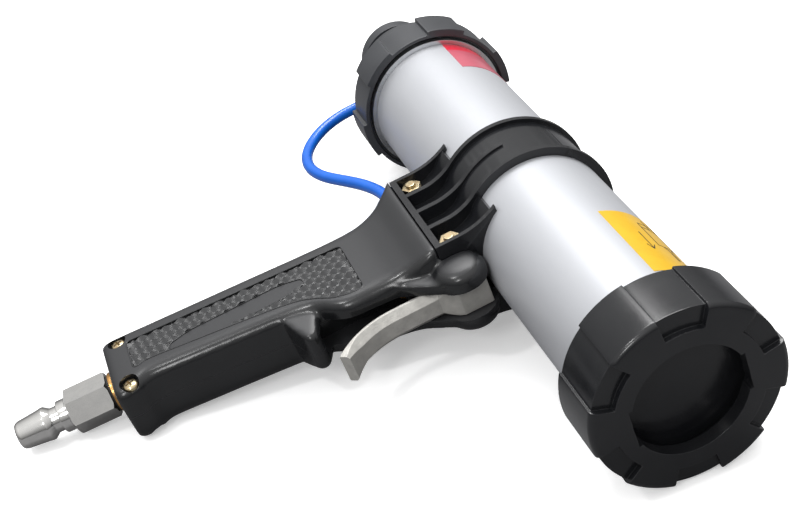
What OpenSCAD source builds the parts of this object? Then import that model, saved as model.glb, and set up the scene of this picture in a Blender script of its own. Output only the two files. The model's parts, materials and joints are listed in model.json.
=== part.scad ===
// Pneumatic caulking gun for standard sealant cartridges.
// It lies on its left side: +X points to the nozzle end and +Z points up.
// Most modules are written in the gun's own frame: X runs along the barrel from
// the front cap's face at x = 0, Y points away from the grip and Z to the gun's right.

/* [Barrel] */
// Outside diameter of the barrel tube
barrel_d = 56; // [50:0.5:64]
// Wall of the barrel tube
barrel_wall = 1.5; // [1.2:0.1:2.5]
// Length of the barrel tube
barrel_len = 238; // [190:1:290]
// Radial height of the threaded collars on the barrel ends
collar_h = 2.1; // [1.5:0.1:3]
// Length of each threaded collar
collar_len = 11.5; // [10:0.5:18]

/* [Front cap] */
// Length of the front cap
front_cap_len = 24; // [18:1:32]
// Wall of both screw caps outside the collar
cap_wall = 4.6; // [3.5:0.1:6]
// Thickness of the front cap's face
front_face = 5; // [3:0.5:8]
// Diameter of the round nozzle opening
opening_d = 41.2; // [30:0.2:44]
// Width of the two flats cut across the opening
opening_flat_w = 15; // [8:1:20]
// Number of finger pockets round each cap
pocket_count = 6; // [4:1:8]
// Angle taken by one pocket of the front cap and by one lobe of the rear cap
pocket_angle = 29; // [16:1:34]

/* [Rear cap] */
// Length of the lobed skirt of the rear cap
rear_cap_len = 17.2; // [14:0.2:24]
// Thickness of the rear cap's back wall
rear_wall = 4; // [3:0.5:6]
// Diameter of the regulator body
regulator_d = 50; // [40:1:54]
// Length of the regulator body behind the cap
regulator_len = 21; // [18:1:28]
// Diameter of the regulator knob
knob_d = 34; // [30:1:44]
// Length of the regulator knob
knob_len = 23; // [16:1:28]
// Number of teeth in the knob's knurled band
knurl_count = 40; // [24:2:48]

/* [Clamp bracket] */
// Distance from the front cap's face to the middle of the bracket
bracket_from_front = 134; // [120:1:150]
// Length of the bracket along the barrel
bracket_len = 54; // [50:1:62]
// Thickness of the bracket across both halves at the ribs
bracket_w = 40; // [34:1:46]
// Depth of the bracket bays below the rib tops
bay_depth = 5.5; // [3:0.5:7]
// Height of the bracket from the barrel's underside to its foot
bracket_h = 14.3; // [12:0.1:18]
// Thickness of the band round the barrel
band_t = 1.8; // [1.2:0.1:3]
// Height of the band's edge flanges above the barrel
flange_h = 3.5; // [2.4:0.1:5]
// Thickness of the ribs
rib_t = 2.2; // [1.4:0.1:3]
// Angle from the gun's top to the seam between the two bands
band_seam = 48; // [20:1:70]

/* [Grip] */
// Length of the grip below the bracket
grip_len = 128.7; // [110:0.1:150]
// Thickness of the grip across both shells
grip_w = 26; // [24:0.5:34]
// Depth of the grip from front to back
grip_depth = 38; // [32:0.5:44]
// Lean of the grip's back edge towards the rear, in degrees
grip_rake = 4; // [0:0.5:8]
// Lean of the grip's front edge towards the rear, in degrees
front_rake = 6.5; // [2:0.5:9]
// Wall of the grip shells
shell_wall = 2.6; // [2:0.1:3.5]
// Radius of the grip's long edges
grip_edge_r = 5.5; // [3:0.5:7]

/* [Trigger] */
// Width of the trigger casting
trigger_w = 12; // [8:0.5:13]
// Thickness of the trigger blade
blade_t = 4; // [3:0.25:5]
// Length of the trigger from its pivot to its tip
trigger_len = 51.5; // [46:0.5:54]
// Diameter of the trigger pin
pin_d = 4; // [3:0.25:5]

/* [Fasteners and fittings] */
// Diameter of the bracket bolts
bolt_d = 4; // [3:0.25:5]
// Width across the flats of the bracket nuts
nut_af = 7; // [6:0.5:8]
// Diameter of the grip screws
screw_d = 3; // [2.5:0.25:4]
// Diameter of the nose of the air plug
plug_nose_d = 11.8; // [9:0.1:13]
// Width across the flats of the air plug's hexagon
plug_af = 16; // [13:0.5:17]
// Length of the air plug's hexagon
plug_hex_len = 17; // [10:1:20]
// Length of the air plug's nose below the hexagon
plug_nose_len = 22; // [18:1:26]
// Diameter of the air hose
hose_d = 5; // [4:0.1:6]
// Diameter of the air passages
passage_d = 3; // [2:0.25:4]
// Diameter of the valve spool
spool_d = 5; // [4:0.25:6]
// Outside diameter of the valve body
valve_d = 15; // [12:0.5:16]

/* [Hidden] */

$fn = 96;
run_gap = 0.3;       // between pieces that move past each other
seat_gap = 0.05;     // between pieces that seat in each other
spool_gap = 0.05;    // running fit of pins and the spool
barrel_r = barrel_d / 2;
bore_r = barrel_r - barrel_wall;
collar_r = barrel_r + collar_h;

// Stations along the barrel
ring_t = 2;
barrel_front = -(front_face + ring_t);
barrel_rear = barrel_front - barrel_len;
cap_r = collar_r + run_gap + cap_wall;
rear_inside = barrel_rear - ring_t;
rear_outside = rear_inside - rear_wall;
rear_mouth = rear_outside + rear_cap_len;
label_t = 0.15;

// Caps
cap_edge_r = 2.2;
pocket_in = 2.2;       // depth of the pockets in the front cap's face
pocket_deep = 8.2;    // reach of those pockets towards the axis
pocket_phase = 21.4;
strip_depth = 1;      // side strips of the front cap
lobe_phase = 4;
lobe_height = 1.8;    // lobes of the rear cap

// Piston
piston_front = barrel_front - 2;
piston_len = 22;
piston_wall = 4;
seal_groove = 2.2;
seal_len = 4;
seal_back = 12;       // from the piston's front to the back of its seal

// Regulator
regulator_r = regulator_d / 2;
regulator_rear = rear_outside - regulator_len;
regulator_edge_r = 3;
spigot_r = 9;
spigot_len = 8;       // inside the rear cap's back wall
needle_r = 2.5;
stem_r = 4;
stem_end = regulator_rear + 7.5;
chamber_r = 6;
chamber_front = rear_outside - 3;
neck_r = 10;
neck_len = 7;
knob_r = knob_d / 2;
knob_front = regulator_rear - 1;
knob_rear = knob_front - knob_len;
knob_edge_r = 4;
rim_len = 9;          // smooth rim at the back of the knob
band_in = 2.2;        // knurled band below the rim
knurl_r = 0.9;
hose_port_x = rear_outside - 12;
fitting_r = 4.4;
fitting_len = 7.5;

// Clamp bracket
band_r = barrel_r + seat_gap + band_t;
flange_r = barrel_r + flange_h;
foot_gun_y = -barrel_r - bracket_h;
fillet_y = -barrel_r - 5;
rib_pitch = bracket_len * 0.24;
floor_z = bracket_w / 2 - bay_depth;
wall_t = 1.8;         // end walls
bar_t = 2.4;          // bar along the foot
nut_h = 3.2;
head_h = 3.4;

// Handle frame: its origin is on the barrel's underside at the middle of the bracket
handle_x = -bracket_from_front;
foot_y = -bracket_h;
heel_y = foot_y - grip_len;
half_w = grip_w / 2;
bolt_x = bracket_len / 2 - 5.5;
bolt_y = -7.5;
tongue_half = 7.6;
cheek_z = trigger_w / 2 + run_gap;
pivot_x = bracket_len / 2 + 4;
pivot_y = -10.5;
trigger_tip_y = pivot_y - trigger_len;
blade_x = pivot_x - 2;
valve_y = -28;
grip_back_x = -21.5;
plug_x = -11.2;
plug_rake = 3;
hose_y = foot_y + 0.3;

// Grip shells
part_gap = 0.05;      // half of the joint between the shells
web_y = -34;
guard_y = pivot_y - 58.5;
guard_x = pivot_x - 4.5;
valley_y = guard_y + 14;
valley_x = pivot_x - 8.5;
neck_x = pivot_x - 7;
cheek_x = pivot_x - 10;
boss_r = 9;
toe_top_y = heel_y + 6;
toe_end_y = heel_y + 13;
toe_out = 4.7;
cavity_end_y = heel_y + 13;
cavity_top_y = -19.5;
screw_low_x = grip_back_x - 1.3;
screw_gap = 27.5;
screw_y = heel_y + 6.6;
screw_head_h = 2.1;
recess_r = 3.8;
recess_z = half_w - 3;

// Trigger
head_r = 6;
curl_r = 28;
curl_turn = 50;

// Valve, along X about its own axis
valve_front = 7;
valve_rear = -18;
valve_r = valve_d / 2;
spool_r = spool_d / 2;
spool_end_gap = 0.6;  // between the spool and the trigger's blade
gland_r = 5;
seat_x = -3;
poppet_r = 4.2;
chamber_x = -16;
outlet_x = -1;
elbow_r = 3.5;
elbow_end_x = -bracket_len / 2 + 1;

// Air inlet, along its own axis down from the heel
nipple_r = 6;
nipple_in = 14;
pipe_r = 4;
flange_start = plug_af / 2 * sin(plug_rake) + seat_gap;
flange_end = 2;
washer_t = 1;
thread_r = 4.5;
hex_top = flange_end + washer_t;

// Lie of the gun on its left side
rest_h = cap_r;
heel_drop = barrel_r - heel_y;
lie_angle = asin(rest_h / sqrt(heel_drop * heel_drop + half_w * half_w)) - atan(half_w / heel_drop);
plug_end_y = barrel_r - heel_y + hex_top + plug_hex_len + plug_nose_len;
shift_x = -knob_rear / 2;
shift_y = (plug_end_y * cos(lie_angle) - cap_r) / 2;

// ---------- frames and plain helpers ----------

module lie() {
  translate([shift_x, shift_y, rest_h])
    rotate([lie_angle, 0, 0])
      children();
}

module handle() {
  lie()
    translate([handle_x, -barrel_r, 0])
      children();
}

// Solid cylinder along X from x0 to x1
module xcyl(r, x0, x1) {
  translate([x0, 0, 0])
    rotate([0, 90, 0])
      cylinder(r = r, h = x1 - x0);
}

// Tube along X from x0 to x1
module xtube(ro, ri, x0, x1) {
  difference() {
    xcyl(ro, x0, x1);
    xcyl(ri, x0 - 1, x1 + 1);
  }
}

// Cylinder along Z centred on the mid-plane
module zcyl(r, x, y, z0, z1) {
  translate([x, y, z0])
    cylinder(r = r, h = z1 - z0);
}

// Turns a profile in (radius, along) into a body of revolution along X
module xturn() {
  rotate([0, 90, 0])
    rotate_extrude()
      children();
}

// Extrudes a profile drawn in the gun's Y and Z along X
module along_x(x0, x1) {
  translate([x0, 0, 0])
    rotate([90, 0, 90])
      linear_extrude(x1 - x0)
        children();
}

// Places children on the leaning axis of the inlet, +Z pointing down the grip
module inlet_axis() {
  translate([plug_x, heel_y, 0])
    rotate([0, 0, -plug_rake])
      rotate([90, 0, 0])
        children();
}

// Tube of n sides swept along a list of points, kept from rolling by a fixed side vector
function unit(v) = v / norm(v);
function tangent(p, i) = unit(p[min(i + 1, len(p) - 1)] - p[max(i - 1, 0)]);
function ring(c, t, side, r, n) =
  let (u = unit(cross(side, t)), w = cross(t, u))
  [for (k = [0:n - 1]) c + r * cos(360 * k / n) * u + r * sin(360 * k / n) * w];

module sweep(path, r, n, side) {
  m = len(path);
  pts = [for (i = [0:m - 1]) each ring(path[i], tangent(path, i), side, r, n)];
  walls = [for (i = [0:m - 2], k = [0:n - 1])
    let (a = i * n + k, b = i * n + (k + 1) % n)
    each [[a, a + n, b + n], [a, b + n, b]]];
  ends = [[for (k = [0:n - 1]) k], [for (k = [n - 1:-1:0]) (m - 1) * n + k]];
  polyhedron(points = pts, faces = concat(walls, ends));
}

// Coil spring along X from x0 to x1
module spring(r, wire, turns, x0, x1) {
  steps = 10 * turns;
  path = [for (i = [0:steps])
    [x0 + wire + (x1 - x0 - 2 * wire) * i / steps, r * cos(36 * i), r * sin(36 * i)]];
  sweep(path, wire, 6, [1, 0, 0]);
}

// ---------- barrel ----------

module barrel_tube() {
  color("#d0d2d5")
    lie()
      xtube(barrel_r, bore_r, barrel_rear, barrel_front);
}

module front_collar() {
  color("#b9bcc0")
    lie()
      xtube(collar_r, barrel_r, barrel_front - collar_len, barrel_front);
}

module rear_collar() {
  color("#b9bcc0")
    lie()
      xtube(collar_r, barrel_r, barrel_rear, barrel_rear + collar_len);
}

module label(start, sweep_angle, x0, x1) {
  lie()
    translate([x0, 0, 0])
      rotate([start, 0, 0])
        rotate([0, 90, 0])
          rotate([0, 0, 90])
            rotate_extrude(angle = sweep_angle)
              translate([barrel_r, 0])
                square([label_t, x1 - x0]);
}

module front_label() {
  color("#f5c400")
    label(-40, 108, barrel_front - 68, barrel_front - 26);
}

module rear_label() {
  color("#eb143c")
    label(-45, 112, barrel_rear + collar_len + 0.2, barrel_rear + 37);
}

// ---------- screw caps ----------

// Outer form of a cap from x0 to x1 with a rounded front edge at x1
module cap_blank(x0, x1, edge) {
  translate([x0, 0, 0])
    xturn() {
      square([cap_r, x1 - x0 - edge]);
      square([cap_r - edge, x1 - x0]);
      translate([cap_r - edge, x1 - x0 - edge])
        circle(r = edge);
    }
}

// A piece of ring between radii r0 and r1, angle wide
module ring_piece(x0, x1, r0, r1, angle) {
  intersection() {
    xtube(r1, r0, x0, x1);
    along_x(x0, x1)
      polygon([[0, 0],
               [2 * r1 * cos(angle / 2), -2 * r1 * sin(angle / 2)],
               [2 * r1 * cos(angle / 2), 2 * r1 * sin(angle / 2)]]);
  }
}

module each_pocket(phase) {
  for (i = [0:pocket_count - 1])
    rotate([phase + 360 * i / pocket_count, 0, 0])
      children();
}

module front_cap() {
  color("#17181a")
    lie()
      difference() {
        cap_blank(-front_cap_len, 0, cap_edge_r);
        xcyl(collar_r + run_gap, -front_cap_len - 1, -front_face);
        xcyl(opening_d / 2, -front_face - 1, 1);
        translate([-front_face - 1, -opening_d / 2 + 0.1, -opening_flat_w / 2])
          cube([front_face + 2, opening_d - 0.2, opening_flat_w]);
        each_pocket(pocket_phase) {
          ring_piece(-pocket_in, 1, cap_r - pocket_deep, cap_r + 2, pocket_angle);
          ring_piece(-front_cap_len - 1, 1, cap_r - strip_depth, cap_r + 2, pocket_angle);
        }
      }
}

module thrust_ring() {
  color("#202124")
    lie()
      xtube(collar_r, opening_d / 2 + 2, barrel_front + seat_gap, -front_face - seat_gap);
}

module rear_cap() {
  color("#55565a")
    lie()
      difference() {
        xcyl(cap_r, rear_outside, rear_mouth);
        each_pocket(lobe_phase + 180 / pocket_count)
          ring_piece(rear_outside - 1, rear_mouth + 1, cap_r - lobe_height, cap_r + 2,
                     360 / pocket_count - pocket_angle);
        xcyl(collar_r + seat_gap, rear_inside, rear_mouth + 1);
        xcyl(cap_r - 3.4, rear_mouth - 2.4, rear_mouth + 1);
        xcyl(spigot_r + seat_gap, rear_outside - 1, rear_inside + 1);
      }
}

module rear_gasket() {
  color("#1b1b1c")
    lie()
      xtube(collar_r - 0.4, bore_r - 3, rear_inside + seat_gap, barrel_rear - seat_gap);
}

// ---------- piston ----------

module piston() {
  color("#1c1d1f")
    lie()
      difference() {
        xcyl(bore_r - run_gap, piston_front - piston_len, piston_front);
        xcyl(bore_r - piston_wall, piston_front - piston_len - 1, piston_front - 5);
        xtube(bore_r + 1, bore_r - seal_groove, piston_front - seal_back, piston_front - seal_back + seal_len);
      }
}

module piston_seal() {
  color("#2a2a2b")
    lie()
      xtube(bore_r - run_gap / 2, bore_r - seal_groove + seat_gap,
            piston_front - seal_back + seat_gap, piston_front - seal_back + seal_len - seat_gap);
}

// ---------- regulator ----------

module regulator_body() {
  color("#3c3d40")
    lie()
      difference() {
        union() {
          xcyl(neck_r, regulator_rear - neck_len, regulator_rear + 1);
          xcyl(regulator_r, regulator_rear + regulator_edge_r, rear_outside - seat_gap);
          xcyl(regulator_r - regulator_edge_r, regulator_rear, rear_outside - 1);
          translate([regulator_rear + regulator_edge_r, 0, 0])
            xturn()
              translate([regulator_r - regulator_edge_r, 0])
                circle(r = regulator_edge_r);
          xcyl(spigot_r, rear_outside - 1, rear_inside + spigot_len);
        }
        xcyl(passage_d / 2, chamber_front - 1, rear_inside + spigot_len + 1);
        xcyl(chamber_r, regulator_rear + 5, chamber_front);
        xcyl(stem_r + spool_gap, regulator_rear - neck_len - 1, regulator_rear + 6);
        translate([hose_port_x, -regulator_r - 1, 0])
          rotate([-90, 0, 0])
            cylinder(r = fitting_r + seat_gap, h = fitting_len + 1 + seat_gap);
        translate([hose_port_x, -regulator_r + fitting_len, 0])
          rotate([-90, 0, 0])
            cylinder(r = passage_d / 2, h = regulator_r - fitting_len);
      }
}

module regulator_locknut() {
  color("#c9a24a")
    lie()
      difference() {
        translate([rear_inside + seat_gap, 0, 0])
          rotate([0, 90, 0])
            cylinder(d = 24 / cos(30), h = 5, $fn = 6);
        xcyl(spigot_r + seat_gap, rear_inside - 1, rear_inside + spigot_len);
      }
}

// The needle's shank is carried through the body into the knob
module regulator_needle() {
  color("#c8cacc")
    lie()
      union() {
        xcyl(stem_r, regulator_rear - neck_len + 1, stem_end);
        xcyl(needle_r, stem_end, chamber_front - 3.5);
      }
}

module regulator_spring() {
  color("#9a9c9f")
    lie()
      spring(needle_r + 1.4, 0.55, 4, stem_end + 0.5, chamber_front - 0.5);
}

module regulator_knob() {
  color("#2b2c2f")
    lie()
      difference() {
        union() {
          translate([knob_rear, 0, 0])
            xturn() {
              translate([0, knob_edge_r])
                square([knob_r, rim_len - knob_edge_r]);
              square([knob_r - knob_edge_r, rim_len]);
              translate([knob_r - knob_edge_r, knob_edge_r])
                circle(r = knob_edge_r);
            }
          xcyl(knob_r - band_in, knob_rear + rim_len - 1, knob_front);
          for (i = [0:knurl_count - 1])
            rotate([360 * i / knurl_count, 0, 0])
              translate([knob_rear + rim_len - 1, knob_r - band_in, 0])
                rotate([0, 90, 0])
                  cylinder(r = knurl_r, h = knob_len - rim_len);
        }
        xcyl(neck_r + spool_gap, regulator_rear - neck_len - 1, knob_front + 1);
        xcyl(knob_r - 2 * knob_edge_r, knob_rear - 1, knob_rear + 1.2);
      }
}

module rear_hose_fitting() {
  color("#c9a24a")
    lie()
      translate([hose_port_x, -regulator_r, 0])
        rotate([90, 0, 0])
          difference() {
            union() {
              translate([0, 0, -fitting_len])
                cylinder(r = fitting_r, h = fitting_len);
              cylinder(r = fitting_r + 0.6, h = 2.4);
            }
            translate([0, 0, -fitting_len - 1])
              cylinder(r = passage_d / 2, h = fitting_len + 5);
          }
}

// ---------- clamp bracket ----------

// Wedge of the gun's Y-Z plane between two angles
module sector(a0, a1, r) {
  polygon(concat([[0, 0]], [for (i = [0:8])
    let (a = a0 + (a1 - a0) * i / 8)
    [2 * r * cos(a), 2 * r * sin(a)]]));
}

// Section of one half: flat at height z0, then a fillet that runs tangent into radius r
module flank(z0, r) {
  fillet_r = (fillet_y * fillet_y + z0 * z0 - r * r) / (2 * (r - z0));
  centre = [fillet_y, z0 + fillet_r];
  touch = unit(centre) * r;
  difference() {
    translate([foot_gun_y, tongue_half + seat_gap])
      square([touch.x - foot_gun_y, touch.y - tongue_half - seat_gap]);
    translate([foot_gun_y - 1, z0])
      square([fillet_y - foot_gun_y + 1, touch.y]);
    translate(centre)
      circle(r = fillet_r);
    circle(r = barrel_r + seat_gap);
  }
}

module band_arc(a0, a1, r) {
  intersection() {
    difference() {
      circle(r = r);
      circle(r = barrel_r + seat_gap);
    }
    sector(a0, a1, r);
  }
}

// One rib with its middle at x, from the foot round the band to angle a1
module rib(x, r, a1) {
  along_x(x - rib_t / 2, x + rib_t / 2) {
    flank(bracket_w / 2, r);
    if (a1 < 130)
      band_arc(a1, 150, r);
  }
}

// One half of the bracket on the +Z side, its band ending at angle a1
module bracket_half(a1) {
  half = bracket_len / 2;
  difference() {
    union() {
      along_x(-half, half) {
        flank(floor_z, band_r + seat_gap);
        band_arc(128, 150, band_r);
      }
      along_x(-rib_pitch, rib_pitch)
        band_arc(a1, 150, band_r);
      for (x = [-half, half - wall_t])
        along_x(x, x + wall_t)
          flank(bracket_w / 2, band_r);
      rib(-rib_pitch, flange_r, a1);
      rib(0, band_r + 0.8, max(a1, 91));
      rib(rib_pitch, flange_r, a1);
      translate([-half, foot_gun_y, tongue_half + seat_gap])
        cube([bracket_len, bar_t, bracket_w / 2 - tongue_half - seat_gap]);
    }
    for (x = [-bolt_x, bolt_x])
      zcyl(bolt_d / 2 + seat_gap, x, bolt_y - barrel_r, 0, bracket_w);
  }
}

module clamp_right() {
  color("#141517")
    lie()
      translate([handle_x, 0, 0])
        bracket_half(band_seam + 0.05);
}

module clamp_left() {
  color("#141517")
    lie()
      translate([handle_x, 0, 0])
        mirror([0, 0, 1])
          bracket_half(-band_seam + 0.05);
}

module clamp_bolts() {
  color("#c8b268")
    handle()
      for (x = [-bolt_x, bolt_x]) {
        zcyl(bolt_d / 2, x, bolt_y, -floor_z - 1, floor_z + nut_h + 1.2);
        zcyl(bolt_d / 2 + 1.6, x, bolt_y, -floor_z - head_h, -floor_z - seat_gap);
      }
}

module clamp_nuts() {
  color("#d2b45a")
    handle()
      for (x = [-bolt_x, bolt_x])
        difference() {
          translate([x, bolt_y, floor_z + seat_gap])
            rotate([0, 0, 30])
              cylinder(d = nut_af / cos(30), h = nut_h, $fn = 6);
          zcyl(bolt_d / 2 + seat_gap, x, bolt_y, 0, bracket_w);
        }
}

// ---------- grip ----------

function back_x(y) = grip_back_x - (web_y - y) * tan(grip_rake);
function front_x(y) = grip_back_x + grip_depth - (web_y - y) * tan(front_rake);

// One slice of the half grip: two rounded outer corners and a square inner edge
module slice(y, x0, x1, t, r) {
  for (x = [x0 + r, x1 - r])
    translate([x, y, t - r])
      rotate([90, 0, 0])
        cylinder(r = r, h = 0.1, $fn = 32);
  translate([x0, y - 0.1, part_gap])
    cube([x1 - x0, 0.1, t - r]);
}

// Outer form of the half grip on the +Z side
module grip_form() {
  hull() {
    slice(heel_y + 0.1, back_x(heel_y) + 1, front_x(heel_y) + toe_out, half_w - 0.8, grip_edge_r);
    slice(toe_top_y, back_x(toe_top_y), front_x(toe_top_y) + toe_out, half_w, grip_edge_r);
  }
  hull() {
    slice(toe_top_y, back_x(toe_top_y), front_x(toe_top_y) + toe_out, half_w, grip_edge_r);
    slice(toe_end_y, back_x(toe_end_y), front_x(toe_end_y), half_w, grip_edge_r);
  }
  hull() {
    slice(toe_end_y, back_x(toe_end_y), front_x(toe_end_y), half_w, grip_edge_r);
    slice(guard_y - 7, back_x(guard_y - 7), front_x(guard_y - 7), half_w, grip_edge_r);
  }
  hull() {
    slice(guard_y - 7, back_x(guard_y - 7), front_x(guard_y - 7), half_w, grip_edge_r);
    slice(valley_y, back_x(valley_y), valley_x, half_w, grip_edge_r);
  }
  hull() {
    slice(valley_y, back_x(valley_y), valley_x, half_w, grip_edge_r);
    slice(web_y, grip_back_x, neck_x, half_w + 0.5, grip_edge_r);
  }
  hull() {
    slice(web_y, grip_back_x, neck_x, half_w + 0.5, grip_edge_r);
    slice(foot_y - part_gap, grip_back_x - 10, bracket_len / 2, bracket_w / 2 - 0.5, 3);
  }
  hull() {
    translate([guard_x - 4, guard_y, part_gap])
      cylinder(r = 4, h = half_w - 6, $fn = 32);
    translate([0, guard_y - 7, part_gap])
      cube([cheek_x - 4, 14, half_w - 3]);
  }
}

// Cheek plate that carries the pin boss in front of the bracket
module cheek() {
  translate([0, 0, cheek_z])
    linear_extrude(3.2)
      polygon([[4, foot_y - part_gap], [4, web_y], [cheek_x, web_y], [pivot_x - 4, pivot_y - 9],
               [pivot_x + 6, pivot_y - 6], [pivot_x + 6, pivot_y + 4], [pivot_x - 3.6, pivot_y + 7],
               [pivot_x - 3.6, foot_y - part_gap]]);
  translate([pivot_x, pivot_y, 0])
    rotate_extrude() {
      translate([0, cheek_z])
        square([boss_r, 3.4]);
      translate([0, cheek_z])
        square([boss_r - 3, 6.4]);
      translate([boss_r - 3, cheek_z + 3.4])
        circle(r = 3);
    }
}

// Hollow of the half grip for the supply pipe and the valve
module grip_cavity() {
  inset = shell_wall + 1;
  bend_y = cavity_top_y - 20;
  translate([0, 0, -1])
    linear_extrude(half_w - shell_wall + 1)
      polygon([[back_x(cavity_end_y) + inset, cavity_end_y], [back_x(bend_y) + inset, bend_y],
               [back_x(bend_y) + inset, cavity_top_y], [valve_front, cavity_top_y],
               [valve_front, guard_y - 7], [front_x(cavity_end_y) - inset, cavity_end_y]]);
  inlet_axis()
    translate([0, 0, -20])
      cylinder(r = nipple_r + seat_gap, h = 30);
}

module half_shell() {
  difference() {
    union() {
      difference() {
        union() {
          grip_form();
          cheek();
        }
        translate([-bracket_len, foot_y - part_gap, tongue_half])
          cube([1.5 * bracket_len + 0.3, bracket_h + 5, bracket_w]);
        grip_cavity();
      }
      translate([-bracket_len / 2, foot_y - 1, part_gap])
        cube([bracket_len - 0.5, bracket_h - 1.5, tongue_half - part_gap]);
    }
    // room for the trigger between the cheeks
    translate([pivot_x - head_r - 0.6, pivot_y - 6.5 - run_gap, -1])
      cube([40, 40, cheek_z + 1]);
    translate([valve_front + 2.5, trigger_tip_y - 2, -1])
      cube([60, pivot_y - 4 - trigger_tip_y, cheek_z + 1]);
    zcyl(pin_d / 2 + seat_gap, pivot_x, pivot_y, -1, cheek_z + 4.2);
    // bracket bolts and grip screws
    for (x = [-bolt_x, bolt_x])
      zcyl(bolt_d / 2 + seat_gap, x, bolt_y, -1, bracket_w);
    for (x = [screw_low_x, screw_low_x + screw_gap]) {
      zcyl(screw_d / 2 + seat_gap, x, screw_y, -1, recess_z + 1);
      zcyl(recess_r, x, screw_y, recess_z, half_w + 1);
    }
    // valve gland, outlet elbow and hose
    translate([0, valve_y, 0]) {
      xcyl(gland_r + seat_gap, valve_front - 1, valve_front + 4);
      xcyl(valve_d / 2 + seat_gap, valve_rear - seat_gap, valve_front);
    }
    translate([outlet_x, valve_y, 0])
      rotate([-90, 0, 0])
        cylinder(r = elbow_r + seat_gap, h = hose_y - valve_y + elbow_r + seat_gap);
    translate([0, hose_y, 0]) {
      xcyl(elbow_r + seat_gap, elbow_end_x, outlet_x);
      xcyl(hose_d / 2 + run_gap, -60, elbow_end_x + 1);
    }
    // the barrel's underside
    translate([0, barrel_r, 0])
      xcyl(barrel_r + 0.6, -60, 60);
  }
}

module grip_right_shell() {
  color("#3a3b3e")
    handle()
      half_shell();
}

module grip_left_shell() {
  color("#3a3b3e")
    handle()
      mirror([0, 0, 1])
        half_shell();
}

module grip_screws() {
  color("#d2b45a")
    handle()
      for (x = [screw_low_x, screw_low_x + screw_gap])
        difference() {
          union() {
            zcyl(screw_d / 2, x, screw_y, -recess_z + 1, recess_z + 0.5);
            zcyl(screw_d / 2 + 1.6, x, screw_y, recess_z + seat_gap, recess_z + screw_head_h);
          }
          for (turn = [0, 90])
            translate([x, screw_y, recess_z + screw_head_h])
              rotate([0, 0, turn + 20])
                cube([3.6, 0.7, 2.2], center = true);
        }
}

// ---------- trigger ----------

// Points of an arc about (cx, cy) from angle a0 to a1 in n steps
function arc(cx, cy, r, a0, a1, n) =
  [for (i = [0:n])
    let (a = a0 + (a1 - a0) * i / n)
    [cx + r * cos(a), cy + r * sin(a)]];

module trigger_outline() {
  curl_x = blade_x + blade_t + curl_r;
  curl_y = trigger_tip_y + (curl_r + blade_t) * sin(curl_turn) - 1;
  translate([pivot_x, pivot_y])
    circle(r = head_r);
  translate([pivot_x, pivot_y])
    square([head_r, head_r + 2]);
  polygon(concat(
    [[blade_x, pivot_y]],
    arc(curl_x, curl_y, curl_r + blade_t, 180, 180 + curl_turn, 10),
    arc(curl_x, curl_y, curl_r, 180 + curl_turn, 180, 10),
    [[blade_x + blade_t, pivot_y - 10.5], [pivot_x + head_r, pivot_y - 3.5],
     [pivot_x + head_r, pivot_y]]));
}

module trigger() {
  color("#96948e")
    handle()
      difference() {
        translate([0, 0, -trigger_w / 2])
          linear_extrude(trigger_w)
            trigger_outline();
        zcyl(pin_d / 2 + spool_gap, pivot_x, pivot_y, -trigger_w, trigger_w);
      }
}

module trigger_pin() {
  color("#b9bcc0")
    handle()
      zcyl(pin_d / 2, pivot_x, pivot_y, -cheek_z - 4, cheek_z + 4);
}

// ---------- valve ----------

module valve_axis() {
  handle()
    translate([0, valve_y, 0])
      children();
}

module valve_body() {
  color("#a9abae")
    difference() {
      valve_axis()
        difference() {
          xcyl(valve_r, valve_rear, valve_front);
          xcyl(poppet_r + 0.6, chamber_x, seat_x);
          xcyl(spool_r + 0.8, seat_x - 1, 1);
          xcyl(spool_r + spool_gap, 0, 5);
          xcyl(gland_r, 3, valve_front + 1);
          translate([outlet_x, 0, 0])
            rotate([-90, 0, 0])
              cylinder(r = passage_d / 2, h = valve_r + 1);
        }
      handle()
        inlet_axis()
          translate([0, 0, -(valve_y - heel_y) + 2])
            cylinder(r = passage_d / 2, h = 20);
    }
}

module valve_gland() {
  color("#c9a24a")
    valve_axis()
      difference() {
        union() {
          xcyl(gland_r - seat_gap, 5, valve_front + 0.5);
          xcyl(gland_r, valve_front + 0.1, valve_front + 6);
        }
        xcyl(spool_r + spool_gap, 4, valve_front + 7);
      }
}

module valve_seals() {
  color("#1b1b1c")
    valve_axis()
      xtube(gland_r - seat_gap, spool_r + spool_gap, 3 + seat_gap, 5 - seat_gap);
}

module valve_spool() {
  color("#c8cacc")
    valve_axis()
      union() {
        xcyl(spool_r, seat_x - 0.2, blade_x - spool_end_gap);
        xcyl(poppet_r, seat_x - 3.2, seat_x - 0.1);
        xcyl(1.5, seat_x - 6, seat_x - 3);
      }
}

module valve_spring() {
  color("#9a9c9f")
    valve_axis()
      spring(2.7, 0.45, 5, chamber_x + 0.1, seat_x - 3.3);
}

module outlet_elbow() {
  color("#c9a24a")
    handle()
      difference() {
        union() {
          translate([outlet_x, valve_y, 0])
            rotate([-90, 0, 0])
              cylinder(r = elbow_r, h = hose_y - valve_y);
          translate([outlet_x, hose_y, 0])
            sphere(r = elbow_r);
          translate([0, hose_y, 0])
            xcyl(elbow_r, elbow_end_x + seat_gap, outlet_x);
        }
        translate([0, valve_y, 0])
          xcyl(valve_r + seat_gap, valve_rear, valve_front);
        translate([outlet_x, valve_y, 0])
          rotate([-90, 0, 0])
            cylinder(r = passage_d / 2, h = hose_y - valve_y);
        translate([0, hose_y, 0])
          xcyl(passage_d / 2, elbow_end_x - 1, outlet_x);
      }
}

// ---------- air inlet ----------

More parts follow.
